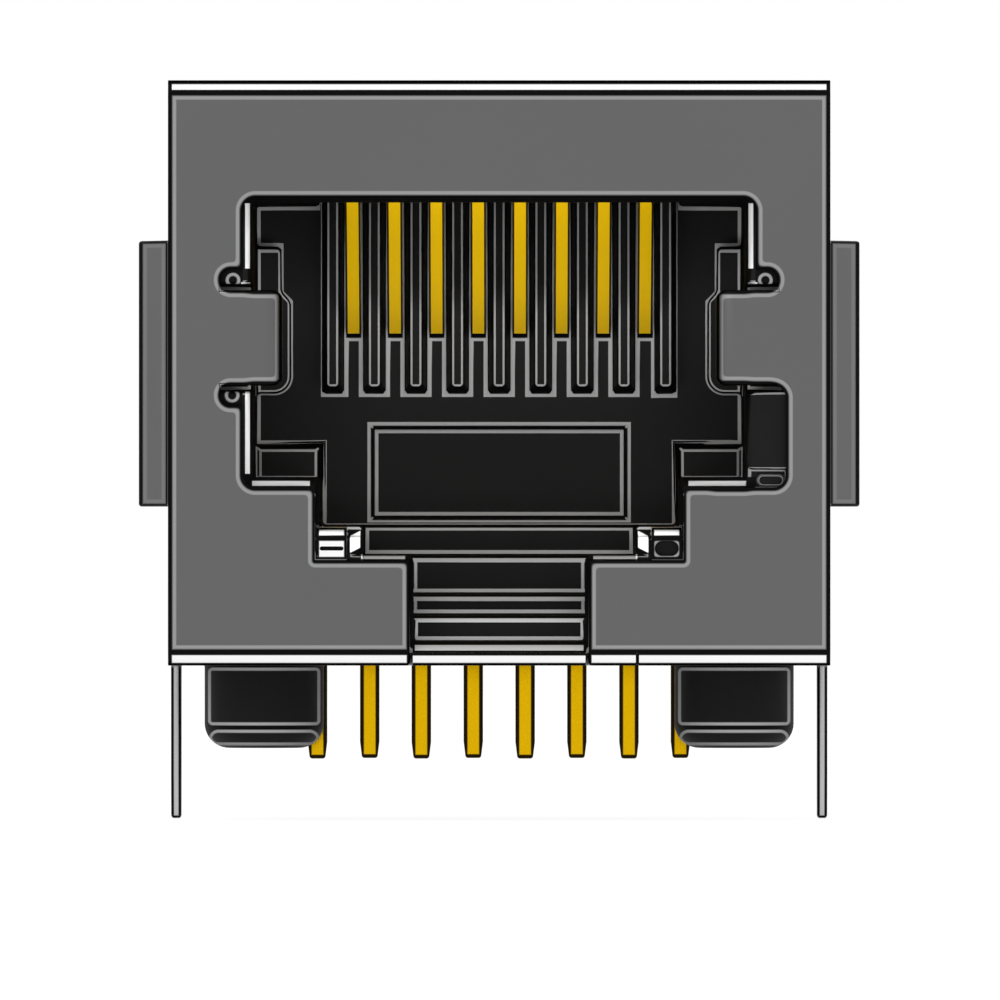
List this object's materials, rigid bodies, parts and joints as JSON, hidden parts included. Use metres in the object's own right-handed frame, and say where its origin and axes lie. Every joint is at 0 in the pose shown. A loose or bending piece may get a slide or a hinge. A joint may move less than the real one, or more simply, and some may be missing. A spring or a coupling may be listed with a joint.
{
  "type": "rj45 board jack",
  "caption": "Shielded right-angle board jack for an eight-contact modular plug, latch side down.",
  "frame": {"origin": "on the board plane, midway between the two locating pegs", "axes": "+X to the right as the mouth is looked into, +Y into the jack, +Z away from the board"},
  "size_m": [0.0174, 0.018, 0.0179],
  "materials": {
    "shield": "satin nickel plate on a thin folded sheet",
    "housing": "black moulded thermoplastic, fine matt grain",
    "insert": "black moulded thermoplastic",
    "contacts": "gold plated spring bronze"
  },
  "bodies": {
    "root": {"front_shield": "shield", "rear_cover": "shield", "housing": "housing", "contact_insert": "insert", "contact_1": "contacts", "contact_2": "contacts", "contact_3": "contacts", "contact_4": "contacts", "contact_5": "contacts", "contact_6": "contacts", "contact_7": "contacts", "contact_8": "contacts"}
  },
  "joints": []
}
